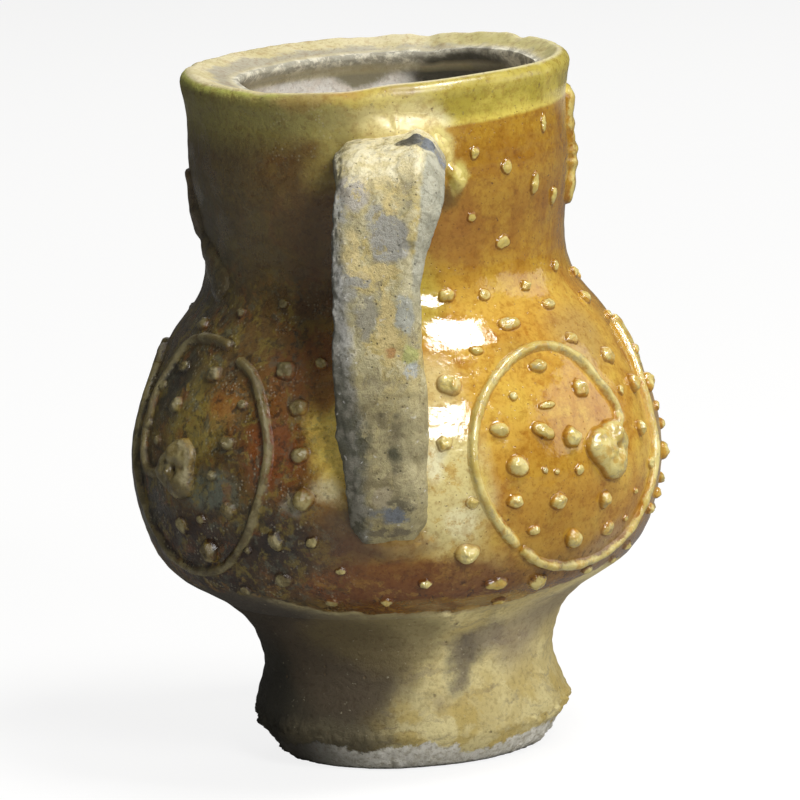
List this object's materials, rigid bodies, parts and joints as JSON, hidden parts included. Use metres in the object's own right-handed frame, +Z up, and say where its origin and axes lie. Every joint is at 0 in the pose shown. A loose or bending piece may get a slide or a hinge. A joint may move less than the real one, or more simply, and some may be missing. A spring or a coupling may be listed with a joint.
{
  "type": "earthenware jug",
  "caption": "Lead-glazed earthenware jug with wide mouth, round belly, pedestal foot, strap handle and applied scrolls, berries and clay pellets.",
  "frame": {"origin": "centre of the flat underside of the foot, on the pot's axis", "axes": "+Z up along the pot's axis to the mouth; -Y towards the handle; +X to the right of the handle as it faces the viewer"},
  "size_m": [0.1254, 0.1343, 0.16],
  "materials": {
    "glaze": "glossy amber lead glaze, darker on one side",
    "slip": "pale clay under glossy clear glaze",
    "biscuit": "matt unglazed buff earthenware",
    "worn_glaze": "worn grey clay with remains of ochre glaze"
  },
  "bodies": {
    "root": {"body": "glaze", "foot": "biscuit", "handle": "worn_glaze", "right_scroll_outer_strip": "slip", "right_scroll_inner_strip": "slip", "right_scroll_berry": "slip", "left_scroll_outer_strip": "slip", "left_scroll_inner_strip": "slip", "left_scroll_berry": "slip", "front_right_scroll_outer_strip": "slip", "front_right_scroll_inner_strip": "slip", "front_right_scroll_berry": "slip", "front_left_scroll_outer_strip": "slip", "front_left_scroll_inner_strip": "slip", "front_left_scroll_berry": "slip", "right_neck_strip": "slip", "left_neck_strip": "glaze", "right_scroll_pellet_1": "slip", "right_scroll_pellet_2": "slip", "right_scroll_pellet_3": "slip", "right_scroll_pellet_4": "slip", "right_scroll_pellet_5": "slip", "right_scroll_pellet_6": "slip", "right_scroll_pellet_7": "slip", "right_scroll_pellet_8": "slip", "right_scroll_pellet_9": "slip", "right_side_pellet_1": "slip", "right_side_pellet_2": "slip", "right_side_pellet_3": "slip", "right_side_pellet_4": "slip", "right_side_pellet_5": "slip", "right_side_pellet_6": "slip", "right_of_handle_pellet_1": "slip", "right_of_handle_pellet_2": "slip", "right_of_handle_pellet_3": "slip", "right_of_handle_pellet_4": "slip", "right_of_handle_pellet_5": "slip", "shoulder_pellet_1": "slip", "shoulder_pellet_2": "slip", "shoulder_pellet_3": "slip", "shoulder_pellet_4": "slip", "neck_pellet_1": "slip", "neck_pellet_2": "slip", "neck_pellet_3": "slip", "left_of_handle_pellet_1": "slip", "left_of_handle_pellet_2": "slip", "left_of_handle_pellet_3": "slip", "left_of_handle_pellet_4": "slip", "left_of_handle_pellet_5": "slip", "left_of_handle_pellet_6": "slip", "left_scroll_pellet_1": "slip", "left_scroll_pellet_2": "slip", "left_scroll_pellet_3": "slip", "left_scroll_pellet_4": "slip", "left_scroll_pellet_5": "slip", "left_scroll_pellet_6": "slip", "left_scroll_pellet_7": "slip", "front_pellet_1": "slip", "front_pellet_2": "slip", "front_pellet_3": "slip"}
  },
  "joints": []
}
